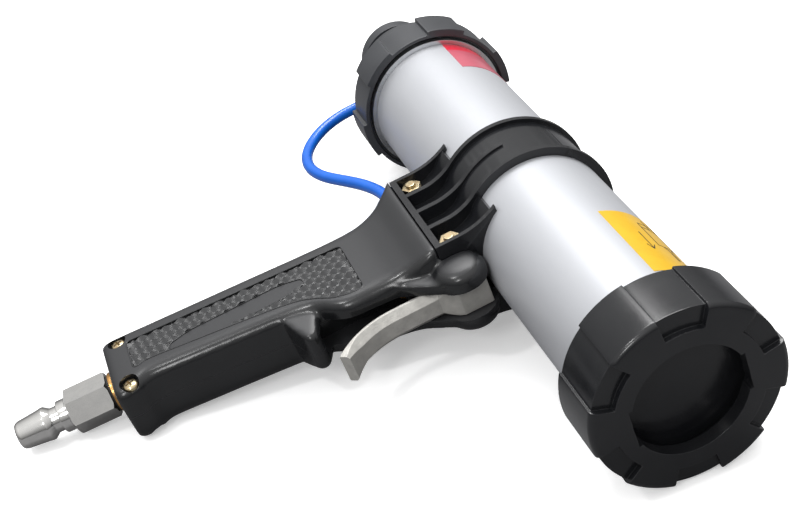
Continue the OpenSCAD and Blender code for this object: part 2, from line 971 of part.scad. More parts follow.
module supply_pipe() {
  color("#a9abae")
    handle()
      difference() {
        inlet_axis()
          difference() {
            translate([0, 0, -(valve_y - heel_y)])
              cylinder(r = pipe_r, h = valve_y - heel_y - 10);
            translate([0, 0, -200])
              cylinder(r = passage_d / 2, h = 400);
          }
        translate([0, valve_y, 0])
          xcyl(valve_r + seat_gap, -40, 40);
      }
}

module inlet_nipple() {
  color("#c9963c")
    handle()
      inlet_axis()
        difference() {
          union() {
            translate([0, 0, -nipple_in])
              cylinder(r = nipple_r, h = nipple_in + 1);
            translate([0, 0, flange_start])
              cylinder(r = plug_af / 2, h = flange_end - flange_start);
          }
          translate([0, 0, -nipple_in - 1])
            cylinder(r = pipe_r + seat_gap, h = 5 + seat_gap);
          translate([0, 0, -nipple_in - 1])
            cylinder(r = passage_d / 2, h = nipple_in - 2);
          translate([0, 0, -5])
            cylinder(r = thread_r, h = 10);
        }
}

module plug_washer() {
  color("#1b1b1c")
    handle()
      inlet_axis()
        difference() {
          translate([0, 0, flange_end + seat_gap])
            cylinder(r = plug_af / 2 - 0.8, h = washer_t - 2 * seat_gap);
          cylinder(r = thread_r + seat_gap, h = 8);
        }
}

module air_plug() {
  nose_r = plug_nose_d / 2;
  hex_end = hex_top + plug_hex_len;
  tip = hex_end + plug_nose_len;
  color("#d9dadc")
    handle()
      inlet_axis()
        difference() {
          union() {
            translate([0, 0, -4])
              cylinder(r = thread_r - seat_gap, h = hex_top + 5);
            intersection() {
              translate([0, 0, hex_top])
                cylinder(d = plug_af / cos(30), h = plug_hex_len, $fn = 6);
              translate([0, 0, hex_top - 2])
                cylinder(r1 = plug_af / 2 + 2.6, r2 = plug_af / 2 + 0.9, h = plug_hex_len + 2);
            }
            rotate_extrude()
              polygon([[0, hex_end - 1], [nose_r, hex_end - 1], [nose_r, hex_end + 3.4],
                       [nose_r - 1.2, hex_end + 4.4], [nose_r - 1.2, hex_end + 7.6],
                       [nose_r + 0.9, hex_end + 8.6], [nose_r + 0.9, hex_end + 11.6],
                       [nose_r, hex_end + 12.6], [nose_r, tip - 1.2], [nose_r - 1.2, tip], [0, tip]]);
          }
          translate([0, 0, -5])
            cylinder(r = passage_d / 2, h = hex_top + 4);
          translate([0, 0, hex_top + 3])
            cylinder(r = passage_d, h = 80);
        }
}

// ---------- air hose ----------

// Points of the hose as chosen, which follow its two ends when those move
hose_points = [[-263, -27.5], [-263, -34], [-262, -41], [-258.5, -49], [-252, -56.5], [-243, -62],
               [-232, -63.5], [-221, -60.5], [-211, -54.5], [-201, -48.5], [-190, -44],
               [-178, -42.2], [-168, -42], [-160, -42]];
hose_first = hose_points[0];
hose_last = hose_points[len(hose_points) - 1];
hose_start = [hose_port_x, -regulator_r - 2.5];
hose_end = [handle_x + elbow_end_x, hose_y - barrel_r];
function hose_share(p) = (p.x - hose_first.x) / (hose_last.x - hose_first.x);
hose_route = [for (p = hose_points)
                let (t = hose_share(p))
                p + (1 - t) * (hose_start - hose_first) + t * (hose_end - hose_last)];

// Points between p1 and p2 of a curve that runs through p0, p1, p2 and p3
function blend_point(p0, p1, p2, p3, t) =
  0.5 * (2 * p1 + t * (p2 - p0) + t * t * (2 * p0 - 5 * p1 + 4 * p2 - p3)
         + t * t * t * (3 * p1 - p0 - 3 * p2 + p3));

function smooth(p, n) =
  let (m = len(p) - 1)
  concat([for (i = [0:m - 1], k = [0:n - 1])
           blend_point(p[max(i - 1, 0)], p[i], p[i + 1], p[min(i + 2, m)], k / n)],
         [p[m]]);

module air_hose() {
  color("#1464e6")
    lie()
      sweep([for (q = smooth(hose_route, 4)) [q.x, q.y, 0]], hose_d / 2, 12, [0, 0, 1]);
}

// ---------- nodes ----------

barrel_tube();
front_collar();
rear_collar();
front_label();
rear_label();
front_cap();
thrust_ring();
piston();
piston_seal();
rear_cap();
rear_gasket();
regulator_body();
regulator_locknut();
regulator_needle();
regulator_spring();
regulator_knob();
rear_hose_fitting();
clamp_right();
clamp_left();
clamp_bolts();
clamp_nuts();
grip_right_shell();
grip_left_shell();
grip_screws();
trigger();
trigger_pin();
valve_body();
valve_gland();
valve_spool();
valve_seals();
valve_spring();
outlet_elbow();
supply_pipe();
inlet_nipple();
plug_washer();
air_plug();
air_hose();
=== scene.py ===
# %% [markdown]
# # A pneumatic caulking gun, dressed from its CAD frame
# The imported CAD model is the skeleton: it says where every piece is and how it
# moves. This file gives each piece its finish, and rebuilds in mesh code the few
# pieces whose real form is softer than CAD primitives can say: the moulded grip,
# the cast trigger, the screw heads, the printed labels and the air hose.

# %% Load the frame
import json
import math
import bmesh
import bpy
from mathutils import Matrix, Vector


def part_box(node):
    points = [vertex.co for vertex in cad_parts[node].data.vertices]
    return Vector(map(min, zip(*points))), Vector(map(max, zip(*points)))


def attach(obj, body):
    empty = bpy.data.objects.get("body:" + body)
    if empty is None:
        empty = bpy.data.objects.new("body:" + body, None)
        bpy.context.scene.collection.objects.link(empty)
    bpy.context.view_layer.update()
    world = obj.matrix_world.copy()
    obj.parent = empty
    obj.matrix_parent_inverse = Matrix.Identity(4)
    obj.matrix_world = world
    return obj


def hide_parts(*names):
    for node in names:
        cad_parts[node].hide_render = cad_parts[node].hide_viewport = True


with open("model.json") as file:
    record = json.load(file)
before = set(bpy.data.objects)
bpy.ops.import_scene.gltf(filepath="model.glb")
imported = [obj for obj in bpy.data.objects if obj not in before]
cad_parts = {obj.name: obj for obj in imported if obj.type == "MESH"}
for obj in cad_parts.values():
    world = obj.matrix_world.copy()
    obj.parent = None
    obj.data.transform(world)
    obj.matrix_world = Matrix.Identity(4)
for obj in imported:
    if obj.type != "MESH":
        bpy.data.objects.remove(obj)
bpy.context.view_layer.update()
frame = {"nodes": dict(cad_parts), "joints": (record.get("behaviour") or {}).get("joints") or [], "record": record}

MM = 0.001

# %% [markdown]
# The gun lies on its side, tilted a little because its grip touches the floor
# with the foot. It is easier to model in the gun's own axes, so two matrices are
# worked out from the frame: `gun` has its origin on the barrel's axis at the
# front cap's face, and `handle` has it on the barrel's underside in the middle
# of the bracket. Both are in millimetres.

# %% The gun's own axes
tube_low, tube_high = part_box("barrel_tube")
joints = {j["name"]: j for j in frame["joints"]}
swing_axis = Vector(joints["trigger_pull"]["axis"])
lie = math.atan2(swing_axis.y, -swing_axis.z)
face_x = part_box("front_cap")[1].x
barrel_r = (tube_high.y - tube_low.y) / 2 / MM
axis_point = Vector((face_x, (tube_low.y + tube_high.y) / 2, (tube_low.z + tube_high.z) / 2))
gun = Matrix.Translation(axis_point) @ Matrix.Rotation(lie, 4, "X") @ Matrix.Scale(MM, 4)
clamp_low, clamp_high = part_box("clamp_right")
bracket_x = ((clamp_low.x + clamp_high.x) / 2 - face_x) / MM
handle = gun @ Matrix.Translation((bracket_x, -barrel_r, 0))
print("lie angle", round(math.degrees(lie), 2), "bracket at", round(bracket_x, 1), "mm")

# %% [markdown]
# The camera stands in front of the nozzle end, above and to the left, as a
# photographer would for a catalogue. It comes first, because the hose is checked
# against what it sees.

# %% Camera
camera_at = gun @ Vector((316.9, -98.8, 321.2))
camera_to = gun @ Vector((-115.4, -53.9, 19.6))
camera_up = (gun.to_3x3() @ Vector((0, 0.342, 0.940))).normalized()
back = (camera_at - camera_to).normalized()
right = camera_up.cross(back).normalized()
camera_data = bpy.data.cameras.new("camera")
camera_data.lens = 65.0
camera_data.sensor_width = 36.0
camera_data.clip_end = 20
camera = bpy.data.objects.new("camera", camera_data)
camera.matrix_world = Matrix.Translation(camera_at) @ Matrix((right, back.cross(right),
                                                              back)).transposed().to_4x4()
bpy.context.collection.objects.link(camera)
bpy.context.scene.camera = camera
print("camera distance", round((camera_at - camera_to).length, 3), "m")

# %% [markdown]
# The air hose is one length of 5 mm polyurethane tube, pushed into a fitting on
# the regulator and into the outlet elbow behind the grip. Its tube is stiff, so
# it hangs in one open bow with no kinks. A Bezier or NURBS curve with a round
# bevel is the natural way to make it, because the route stays editable; the tube
# is then turned into a mesh, so that its box is its own.

# %% Air hose
hose_d = 5.0
hose_route = [(-263, -27.5), (-263, -34), (-262, -41), (-258.5, -49), (-252, -56.5), (-243, -62),
              (-232, -63.5), (-221, -60.5), (-211, -54.5), (-201, -48.5), (-190, -44),
              (-178, -42.2), (-168, -42), (-160, -42)]


def between(p0, p1, p2, p3, t):
    """A point between p1 and p2 on a curve through all four."""
    return 0.5 * (2 * p1 + t * (p2 - p0) + t * t * (2 * p0 - 5 * p1 + 4 * p2 - p3)
                  + t ** 3 * (p3 - p0 + 3 * (p1 - p2)))


def smooth_route(points, steps):
    """The route with steps points to each leg."""
    pts = [Vector(p) for p in points]
    last = len(pts) - 1
    out = []
    for i in range(last):
        four = [pts[max(i - 1, 0)], pts[i], pts[i + 1], pts[min(i + 2, last)]]
        out += [between(*four, k / steps) for k in range(steps)]
    return out + [pts[last]]


hose_points = [gun @ Vector((p.x, p.y, 0)) for p in smooth_route(hose_route, 2)]
hose_curve = bpy.data.curves.new("air_hose_tube", "CURVE")
hose_curve.dimensions = "3D"
hose_curve.bevel_depth = hose_d / 2 * MM
hose_curve.bevel_resolution = 6
hose_curve.resolution_u = 4
hose_curve.use_fill_caps = True
spline = hose_curve.splines.new("NURBS")
spline.points.add(len(hose_points) - 1)
for point, place in zip(spline.points, hose_points):
    point.co = (*place, 1)
spline.order_u = 3
spline.use_endpoint_u = True
route_line = bpy.data.objects.new("hose_route", hose_curve)
bpy.context.collection.objects.link(route_line)
graph = bpy.context.evaluated_depsgraph_get()
tube = bpy.data.meshes.new_from_object(route_line.evaluated_get(graph))
bpy.data.objects.remove(route_line)
air_hose = bpy.data.objects.new("air_hose_tube", tube)
bpy.context.collection.objects.link(air_hose)
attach(air_hose, "gun")
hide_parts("air_hose")

# %% [markdown]
# ## Shared effects
# Plastic, castings and plating all need the same few effects: colour that drifts
# a little, a fine grain in the surface, and edges that are rubbed brighter. Each
# is a node group, built once, so one change reaches every material.

# %% A helper that makes a node group
def new_group(name, inputs, outputs):
    """An empty shader group with float or colour sockets."""
    tree = bpy.data.node_groups.new(name, "ShaderNodeTree")
    for label, value in inputs.items():
        kind = "NodeSocketColor" if isinstance(value, tuple) else "NodeSocketFloat"
        socket = tree.interface.new_socket(label, in_out="INPUT", socket_type=kind)
        socket.default_value = value
    for label, kind in outputs.items():
        tree.interface.new_socket(label, in_out="OUTPUT", socket_type="NodeSocket" + kind)
    return tree, tree.nodes.new("NodeGroupInput"), tree.nodes.new("NodeGroupOutput")


def add(tree, kind, links=(), **settings):
    """A node with its settings, and its inputs linked or set."""
    node = tree.nodes.new("ShaderNode" + kind)
    for key, value in settings.items():
        setattr(node, key, value)
    for slot, value in dict(links).items():
        if isinstance(value, bpy.types.NodeSocket):
            tree.links.new(value, node.inputs[slot])
        else:
            node.inputs[slot].default_value = value
    return node


def math_node(tree, operation, a, b=0.0):
    return add(tree, "Math", {0: a, 1: b}, operation=operation).outputs[0]


print("node helpers ready")

# %% [markdown]
# **Drift** moves a colour and a roughness up and down over the surface with
# noise. Its coordinates can be stretched along the barrel, which turns the same
# noise into the drawing lines of a tube.

# %% Drift group
drift, gin, gout = new_group(
    "drift",
    {"Color": (0.5, 0.5, 0.5, 1), "Other Color": (0.5, 0.5, 0.5, 1), "Scale": 60.0, "Stretch": 1.0,
     "Roughness": 0.5, "Roughness Spread": 0.1},
    {"Color": "Color", "Roughness": "Float", "Value": "Float"})
place = add(drift, "TexCoord").outputs["Object"]
split = add(drift, "SeparateXYZ", {0: place})
thin = math_node(drift, "MULTIPLY", split.outputs[0], gin.outputs["Stretch"])
joined = add(drift, "CombineXYZ", {0: thin, 1: split.outputs[1], 2: split.outputs[2]})
noise = add(drift, "TexNoise", {"Vector": joined.outputs[0], "Scale": gin.outputs["Scale"], "Detail": 5.0,
                                "Roughness": 0.6})
level = add(drift, "MapRange", {0: noise.outputs[0], 1: 0.3, 2: 0.7, 3: 0.0, 4: 1.0})
mixed = add(drift, "Mix", {0: level.outputs[0], 6: gin.outputs["Color"], 7: gin.outputs["Other Color"]},
            data_type="RGBA")
swing = math_node(drift, "MULTIPLY", math_node(drift, "SUBTRACT", level.outputs[0], 0.5),
                  gin.outputs["Roughness Spread"])
rough = math_node(drift, "ADD", gin.outputs["Roughness"], swing)
drift.links.new(mixed.outputs[2], gout.inputs["Color"])
drift.links.new(rough, gout.inputs["Roughness"])
drift.links.new(level.outputs[0], gout.inputs["Value"])
print("drift group:", len(drift.nodes), "nodes")

# %% [markdown]
# **Grain** is the fine relief of a surface: the leather-like texture of moulded
# plastic, the skin of a sand casting or the lines a lathe leaves. It puts out a
# height, which each material sends to its own Bump node.

# %% Grain group
grain, gin, gout = new_group(
    "grain", {"Scale": 900.0, "Stretch X": 1.0, "Coarse": 0.3},
    {"Height": "Float"})
place = add(grain, "TexCoord").outputs["Object"]
split = add(grain, "SeparateXYZ", {0: place})
thin = math_node(grain, "MULTIPLY", split.outputs[0], gin.outputs["Stretch X"])
joined = add(grain, "CombineXYZ", {0: thin, 1: split.outputs[1], 2: split.outputs[2]}).outputs[0]
fine = add(grain, "TexNoise", {"Vector": joined, "Scale": gin.outputs["Scale"], "Detail": 3.0})
coarse_scale = math_node(grain, "MULTIPLY", gin.outputs["Scale"], 0.22)
coarse = add(grain, "TexNoise", {"Vector": joined, "Scale": coarse_scale, "Detail": 2.0})
both = add(grain, "Mix", {0: gin.outputs["Coarse"], 2: fine.outputs[0], 3: coarse.outputs[0]})
grain.links.new(both.outputs[0], gout.inputs["Height"])
print("grain group:", len(grain.nodes), "nodes")

# %% [markdown]
# **Edge wear** finds the corners by comparing the true normal with one that is
# rounded over a small radius, and breaks the line up with noise, because wear is
# never even.

# %% Edge wear group
wear, gin, gout = new_group("edge_wear", {"Radius": 0.0006, "Amount": 1.0, "Scale": 400.0}, {"Mask": "Float"})
rounded = add(wear, "Bevel", {"Radius": gin.outputs["Radius"]}, samples=4)
flat = add(wear, "NewGeometry").outputs["Normal"]
likeness = add(wear, "VectorMath", {0: rounded.outputs[0], 1: flat}, operation="DOT_PRODUCT").outputs["Value"]
edge = add(wear, "MapRange", {0: likeness, 1: 0.99, 2: 0.86, 3: 0.0, 4: 1.0}).outputs[0]
place = add(wear, "TexCoord").outputs["Object"]
patch = add(wear, "TexNoise", {"Vector": place, "Scale": gin.outputs["Scale"], "Detail": 4.0})
broken = add(wear, "MapRange", {0: patch.outputs[0], 1: 0.38, 2: 0.62, 3: 0.15, 4: 1.0}).outputs[0]
mask = math_node(wear, "MULTIPLY", math_node(wear, "MULTIPLY", edge, broken), gin.outputs["Amount"])
wear.links.new(mask, gout.inputs["Mask"])
print("edge wear group:", len(wear.nodes), "nodes")

# %% [markdown]
# ## Finishes
# Every material is the same short chain: drift gives colour and roughness, edge
# wear mixes in the rubbed colour, and grain gives the relief. Values that are
# the same all over, such as metal or coat, are set on the shader itself.

# %% A helper that builds one finish
def place_group(tree, group, **values):
    node = tree.nodes.new("ShaderNodeGroup")
    node.node_tree = group
    for key, value in values.items():
        node.inputs[key.replace("_", " ")].default_value = value
    return node


def finish(name, color, other, rough, spread=0.08, metal=0.0, scale=60.0, stretch=1.0, worn=None,
           worn_amount=0.5, worn_radius=0.0006, grain_scale=900.0, grain_stretch=1.0, coarse=0.3,
           relief=0.00002,
           coat=0.0, coat_rough=0.1, specular=0.5):
    """One material from the shared groups. relief is the depth of the grain in metres."""
    material = bpy.data.materials.new(name)
    material.use_nodes = True
    tree = material.node_tree
    shader = tree.nodes["Principled BSDF"]
    shader.inputs["Metallic"].default_value = metal
    shader.inputs["Coat Weight"].default_value = coat
    shader.inputs["Coat Roughness"].default_value = coat_rough
    shader.inputs["Specular IOR Level"].default_value = specular
    base = place_group(tree, drift, Color=(*color, 1), Other_Color=(*other, 1), Scale=scale, Stretch=stretch,
                       Roughness=rough, Roughness_Spread=spread)
    colour = base.outputs["Color"]
    if worn:
        edge = place_group(tree, wear, Amount=worn_amount, Radius=worn_radius)
        blend = add(tree, "Mix", {0: edge.outputs["Mask"], 6: colour, 7: (*worn, 1)}, data_type="RGBA")
        colour = blend.outputs[2]
    tree.links.new(colour, shader.inputs["Base Color"])
    tree.links.new(base.outputs["Roughness"], shader.inputs["Roughness"])
    skin = place_group(tree, grain, Scale=grain_scale, Stretch_X=grain_stretch, Coarse=coarse)
    bump = add(tree, "Bump", {"Height": skin.outputs["Height"], "Distance": relief, "Strength": 1.0})
    tree.links.new(bump.outputs[0], shader.inputs["Normal"])
    return material


finishes = {
    "anodised_barrel": finish("anodised_barrel", (0.50, 0.51, 0.535), (0.475, 0.485, 0.51), 0.42, 0.05, 0.35,
                              scale=120, stretch=0.3, grain_scale=2600, grain_stretch=0.1, relief=0.000002),
    "turned_aluminium": finish("turned_aluminium", (0.55, 0.56, 0.57), (0.68, 0.69, 0.70), 0.30, 0.12, 1.0,
                               scale=90, grain_scale=2400, grain_stretch=6, relief=0.000008),
    "cast_aluminium": finish("cast_aluminium", (0.46, 0.45, 0.42), (0.36, 0.35, 0.33), 0.50, 0.12, 0.45,
                             scale=260, worn=(0.62, 0.61, 0.58), worn_amount=0.6, grain_scale=1300,
                             coarse=0.55,
                             relief=0.00022),
    "black_gloss_nylon": finish("black_gloss_nylon", (0.007, 0.0075, 0.009), (0.011, 0.0115, 0.013), 0.22,
                                0.08,
                                worn=(0.07, 0.07, 0.075), worn_amount=0.3, relief=0.000012, grain_scale=700),
    "grey_cap_nylon": finish("grey_cap_nylon", (0.034, 0.036, 0.040), (0.046, 0.048, 0.053), 0.42, 0.1,
                             worn=(0.16, 0.16, 0.17), worn_amount=0.4, relief=0.00003),
    "grip_plastic": finish("grip_plastic", (0.008, 0.0085, 0.0095), (0.012, 0.0125, 0.0135), 0.21, 0.05,
                           worn=(0.08, 0.08, 0.085), worn_amount=0.25, relief=0.00002, grain_scale=1100),
    "black_rubber": finish("black_rubber", (0.015, 0.015, 0.015), (0.024, 0.024, 0.024), 0.7, 0.1,
                           relief=0.00003),
    "zinc_steel": finish("zinc_steel", (0.56, 0.50, 0.33), (0.50, 0.36, 0.20), 0.28, 0.12, 1.0, scale=420,
                         worn=(0.78, 0.74, 0.62), worn_amount=0.5, relief=0.00001),
    "spring_steel": finish("spring_steel", (0.5, 0.5, 0.5), (0.36, 0.36, 0.37), 0.3, 0.1, 1.0,
                           relief=0.00001),
    "brass": finish("brass", (0.62, 0.36, 0.14), (0.45, 0.24, 0.08), 0.28, 0.12, 1.0, scale=220,
                    relief=0.00001),
    "bright_chrome": finish("bright_chrome", (0.66, 0.65, 0.63), (0.58, 0.575, 0.56), 0.12, 0.08, 1.0,
                            scale=200,
                            worn=(0.9, 0.9, 0.9), relief=0.000008, grain_scale=2000),
    "blue_polyurethane": finish("blue_polyurethane", (0.004, 0.13, 0.62), (0.003, 0.10, 0.52), 0.26, 0.06,
                                scale=120, relief=0.00001, coat=0.2),
}
print("finishes:", len(finishes))

# %% [markdown]
# The grip's mould was polished round the edges and blasted on the two flat
# sides. The surface normal tells them apart: where it points straight out of a
# side, the plastic is satin, and everywhere else it is glossy.

# %% Polished edges and satin sides on the grip
tree = finishes["grip_plastic"].node_tree
shader = tree.nodes["Principled BSDF"]
facing = add(tree, "VectorMath", {0: add(tree, "TexCoord").outputs["Normal"],
                                  1: (0, -math.sin(lie), math.cos(lie))},
                                  operation="DOT_PRODUCT").outputs["Value"]
flatness = add(tree, "MapRange", {0: math_node(tree, "ABSOLUTE", facing), 1: 0.80, 2: 0.995})
rise = math_node(tree, "MULTIPLY", flatness.outputs[0], 0.26)
satin = math_node(tree, "ADD", shader.inputs["Roughness"].links[0].from_socket, rise)
tree.links.new(satin, shader.inputs["Roughness"])
dull = add(tree, "Mix", {0: flatness.outputs[0], 6: shader.inputs["Base Color"].links[0].from_socket,
                         7: (0.022, 0.0225, 0.0245, 1)}, data_type="RGBA").outputs[2]
tree.links.new(dull, shader.inputs["Base Color"])
print("satin sides set")

# %% [markdown]
# The labels are printed film. The rear one is red and fades towards the front;
# the front one is yellow with a small generic line drawing.

# %% Label finishes
def label_finish(name, color, other):
    material = finish(name, color, other, 0.35, 0.1, scale=150, relief=0.00001, coat=0.3)
    return material, material.node_tree


red_label, tree = label_finish("red_label", (0.62, 0.008, 0.035), (0.56, 0.008, 0.03))
low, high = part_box("rear_label")
place = add(tree, "TexCoord").outputs["Object"]
along = add(tree, "SeparateXYZ", {0: place}).outputs[0]
fade = add(tree, "MapRange", {0: along, 1: low.x + 0.0055, 2: low.x + 0.0075, 3: 0.0, 4: 1.0}).outputs[0]
ground = tree.nodes["Principled BSDF"].inputs["Base Color"].links[0].from_socket
pale = add(tree, "Mix", {0: fade, 6: ground, 7: (0.50, 0.10, 0.14, 1)}, data_type="RGBA").outputs[2]
tree.links.new(pale, tree.nodes["Principled BSDF"].inputs["Base Color"])
finishes["red_label"] = red_label
yellow_label, tree = label_finish("yellow_label", (0.72, 0.43, 0.002), (0.66, 0.38, 0.002))
finishes["yellow_label"] = yellow_label
print("labels done")

# %% [markdown]
# ## CAD pieces that stay
# Turned, plated and simply moulded pieces are already right in shape. Real
# edges are never sharp, though, so each gets the same stack of modifiers: weld
# the facets, dissolve the flat ones, bevel the corners and shade by angle.

# %% Shade-by-angle modifier, as a small geometry group
angle_group = bpy.data.node_groups.new("shade_by_angle", "GeometryNodeTree")
angle_group.interface.new_socket("Geometry", in_out="INPUT", socket_type="NodeSocketGeometry")
angle_group.interface.new_socket("Geometry", in_out="OUTPUT", socket_type="NodeSocketGeometry")
gin = angle_group.nodes.new("NodeGroupInput")
gout = angle_group.nodes.new("NodeGroupOutput")
faces = angle_group.nodes.new("GeometryNodeSetShadeSmooth")
edges = angle_group.nodes.new("GeometryNodeSetShadeSmooth")
edges.domain = "EDGE"
fold = angle_group.nodes.new("GeometryNodeInputMeshEdgeAngle")
flat_enough = angle_group.nodes.new("FunctionNodeCompare")
flat_enough.operation = "LESS_EQUAL"
flat_enough.inputs[1].default_value = math.radians(38)
angle_group.links.new(fold.outputs[0], flat_enough.inputs[0])
angle_group.links.new(gin.outputs[0], faces.inputs[0])
angle_group.links.new(faces.outputs[0], edges.inputs[0])
angle_group.links.new(flat_enough.outputs[0], edges.inputs["Shade Smooth"])
angle_group.links.new(edges.outputs[0], gout.inputs[0])


def soften(obj, width=0.4, segments=2, limit=35, merge_flats=True):
    """Round the corners of obj by width millimetres and shade it by angle."""
    weld = obj.modifiers.new("weld", "WELD")
    weld.merge_threshold = 0.00001
    if merge_flats:
        planar = obj.modifiers.new("flatten", "DECIMATE")
        planar.decimate_type = "DISSOLVE"
        planar.angle_limit = math.radians(0.5)
    if width:
        bevel = obj.modifiers.new("round", "BEVEL")
        bevel.width = width * MM
        bevel.segments = segments
        bevel.limit_method = "ANGLE"
        bevel.angle_limit = math.radians(limit)
    shade_by_angle(obj)


def shade_by_angle(obj):
    shade = obj.modifiers.new("shade", "NODES")
    shade.node_group = angle_group
    even = obj.modifiers.new("even", "WEIGHTED_NORMAL")
    even.keep_sharp = True


# %% Dress every CAD node
slots = {s["node"]: s["material_slot"] for s in frame["record"]["subparts"]}
corner = {"clamp_right": 0.4, "clamp_left": 0.4, "front_cap": 0.3, "rear_cap": 0.4, "regulator_knob": 0.35,
          "regulator_body": 0.3, "air_plug": 0.35, "clamp_nuts": 0.3, "clamp_bolts": 0.3, "piston": 0.4,
          "front_collar": 0.3, "rear_collar": 0.3, "barrel_tube": 0.25, "rear_hose_fitting": 0.3,
          "plug_washer": 0.15, "inlet_nipple": 0.3, "front_label": 0, "rear_label": 0}
for name, obj in frame["nodes"].items():
    obj.data.materials.clear()
    obj.data.materials.append(finishes[slots[name]])
    # The front cap's end face has pockets and a bore, and folds when it is merged into one flat
    soften(obj, corner.get(name, 0.15), merge_flats=name != "front_cap")
air_hose.data.materials.append(finishes["blue_polyurethane"])
print("dressed", len(frame["nodes"]), "CAD nodes")

# %% [markdown]
# ## The moulded grip
# The grip is two glass-filled nylon shells that meet on the mid-plane. Its form
# flows: a flank that swells into the bracket, a fin that guards the fingers, a
# toe at the foot and a dome over the trigger pin. Lofting rounded sections gives
# the main body, simple closed forms give the fin and the domes, and a voxel
# remesh melts them into one skin, as the mould-maker's fillets do.

# %% Mesh helpers
def new_object(name, bm, matrix=None):
    """A mesh object from a bmesh in millimetres, placed by matrix."""
    mesh = bpy.data.meshes.new(name)
    bmesh.ops.recalc_face_normals(bm, faces=bm.faces)
    bm.to_mesh(mesh)
    bm.free()
    if matrix:
        mesh.transform(matrix)
    obj = bpy.data.objects.new(name, mesh)
    bpy.context.collection.objects.link(obj)
    return obj


def loft(bm, rings):
    """A closed skin over rings with equal numbers of points."""
    rows = [[bm.verts.new(p) for p in ring] for ring in rings]
    count = len(rows[0])
    for a, b in zip(rows, rows[1:]):
        for k in range(count):
            j = (k + 1) % count
            bm.faces.new((a[k], a[j], b[j], b[k]))
    bm.faces.new(rows[0])
    bm.faces.new(list(reversed(rows[-1])))


def rounded_section(y, x0, x1, t, r, steps=6):
    """A rounded rectangle in X and Z at height y; t is half its thickness."""
    ring = []
    for cx, cz, start in ((x1 - r, t - r, 0), (x0 + r, t - r, 90), (x0 + r, r - t, 180),
                          (x1 - r, r - t, 270)):
        for k in range(steps + 1):
            a = math.radians(start + 90 * k / steps)
            ring.append((cx + r * math.cos(a), y, cz + r * math.sin(a)))
    return ring


def hull_of(bm, points):
    """The convex hull of points, added to bm as a closed form."""
    verts = [bm.verts.new(p) for p in points]
    result = bmesh.ops.convex_hull(bm, input=verts)
    loose = [v for v in result["geom_interior"] if isinstance(v, bmesh.types.BMVert)]
    bmesh.ops.delete(bm, geom=loose, context="VERTS")


def box_points(x0, x1, y0, y1, z0, z1):
    return [(x, y, z) for x in (x0, x1) for y in (y0, y1) for z in (z0, z1)]


def turned(bm, profile, centre, steps=48):
    """A body of revolution about Z from (radius, z) pairs."""
    rings = [[(centre[0] + r * math.cos(math.tau * k / steps),
               centre[1] + r * math.sin(math.tau * k / steps), z)
              for k in range(steps)] for r, z in profile]
    loft(bm, rings)


def apply_modifiers(obj):
    """Turn obj's modifiers into plain mesh."""
    graph = bpy.context.evaluated_depsgraph_get()
    mesh = bpy.data.meshes.new_from_object(obj.evaluated_get(graph))
    obj.modifiers.clear()
    obj.data = mesh


def cut(obj, cutter, operation="DIFFERENCE"):
    """Exact boolean of obj with cutter, which is used up."""
    tool = obj.modifiers.new("cut", "BOOLEAN")
    tool.operation = operation
    tool.solver = "EXACT"
    tool.object = cutter
    apply_modifiers(obj)
    bpy.data.objects.remove(cutter)


print("mesh helpers ready")

# %% [markdown]
# The sections are read down the grip, in the handle's millimetres: height, back
# edge, front edge, half thickness and corner radius.

# %% Grip body
sections = [
    (-14.35, -31.5, 27.0, 19.5, 3.0), (-17.0, -28.6, 27.3, 18.9, 3.6), (-20.0, -26.6, 27.2, 17.8, 4.2),
    (-24.0, -24.2, 26.6, 16.2, 4.8), (-28.0, -22.9, 25.6, 15.1, 5.2), (-34.0, -22.0, 24.8, 13.9, 5.4),
    (-42.0, -22.0, 24.0, 13.3, 5.4), (-52.0, -22.7, 23.0, 13.0, 5.4), (-58.0, -23.1, 19.5, 13.0, 5.4),
    (-63.0, -23.4, 15.4, 13.0, 5.4), (-72.0, -24.1, 12.6, 13.0, 5.4), (-90.0, -25.4, 10.1, 13.0, 5.4),
    (-110.0, -26.8, 7.8, 13.0, 5.4), (-126.0, -27.9, 6.0, 13.0, 5.4), (-130.5, -28.3, 6.4, 13.0, 5.4),
    (-134.0, -28.5, 8.4, 13.0, 5.4), (-138.0, -28.7, 9.4, 12.9, 5.2), (-141.5, -28.6, 9.3, 12.5, 5.0),
    (-143.0, -27.9, 8.4, 11.6, 4.6)]


def between_sections(rows, step):
    """More sections, spaced about step apart, on smooth curves through the given ones."""
    out = []
    last = len(rows) - 1
    for i in range(last):
        four = [rows[max(i - 1, 0)], rows[i], rows[i + 1], rows[min(i + 2, last)]]
        count = max(1, round(abs(rows[i + 1][0] - rows[i][0]) / step))
        out += [tuple(between(*values, k / count) for values in zip(*four)) for k in range(count)]
    return out + [rows[-1]]


bm = bmesh.new()
loft(bm, [rounded_section(*row) for row in between_sections(sections, 2.0)])
# the finger guard: a fin with a round nose
nose = [(22.4 + 3.4 * math.cos(a), -68.6 + 3.4 * math.sin(a), z)
        for a in [math.tau * k / 16 for k in range(16)] for z in (-6.5, 6.5)]
nose += [(22.4 + 2.2 * math.cos(a), -68.6 + 2.2 * math.sin(a), z)
         for a in [math.tau * k / 16 for k in range(16)] for z in (-8.4, 8.4)]
hull_of(bm, nose + box_points(2, 12.5, -75.5, -63, -10.5, 10.5) + box_points(2, 14.5, -73, -62.5, -9, 9))
